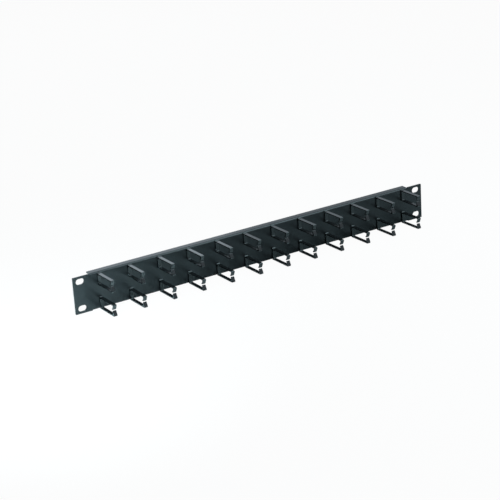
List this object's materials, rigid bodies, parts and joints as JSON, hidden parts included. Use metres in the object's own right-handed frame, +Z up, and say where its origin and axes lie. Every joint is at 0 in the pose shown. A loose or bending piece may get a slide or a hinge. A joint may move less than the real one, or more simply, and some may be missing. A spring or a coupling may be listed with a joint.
{
  "type": "horizontal cable manager",
  "caption": "Flanged rack panel with rows of open snap-in rings that guide cables along its front.",
  "frame": {"origin": "centre of the rack slot pattern on the panel's rear face", "axes": "+X along the panel to the right seen from the front, +Y into the rack, +Z up; the rings stand out to -Y"},
  "size_m": [0.4826, 0.043, 0.0438],
  "materials": {
    "panel_coat": "satin black powder coat on steel",
    "ring_plastic": "satin black moulded nylon"
  },
  "bodies": {
    "root": {"panel": "panel_coat", "ring_upper_01": "ring_plastic", "ring_upper_02": "ring_plastic", "ring_upper_03": "ring_plastic", "ring_upper_04": "ring_plastic", "ring_upper_05": "ring_plastic", "ring_upper_06": "ring_plastic", "ring_upper_07": "ring_plastic", "ring_upper_08": "ring_plastic", "ring_upper_09": "ring_plastic", "ring_upper_10": "ring_plastic", "ring_upper_11": "ring_plastic", "ring_upper_12": "ring_plastic", "ring_lower_01": "ring_plastic", "ring_lower_02": "ring_plastic", "ring_lower_03": "ring_plastic", "ring_lower_04": "ring_plastic", "ring_lower_05": "ring_plastic", "ring_lower_06": "ring_plastic", "ring_lower_07": "ring_plastic", "ring_lower_08": "ring_plastic", "ring_lower_09": "ring_plastic", "ring_lower_10": "ring_plastic", "ring_lower_11": "ring_plastic", "ring_lower_12": "ring_plastic"}
  },
  "joints": []
}
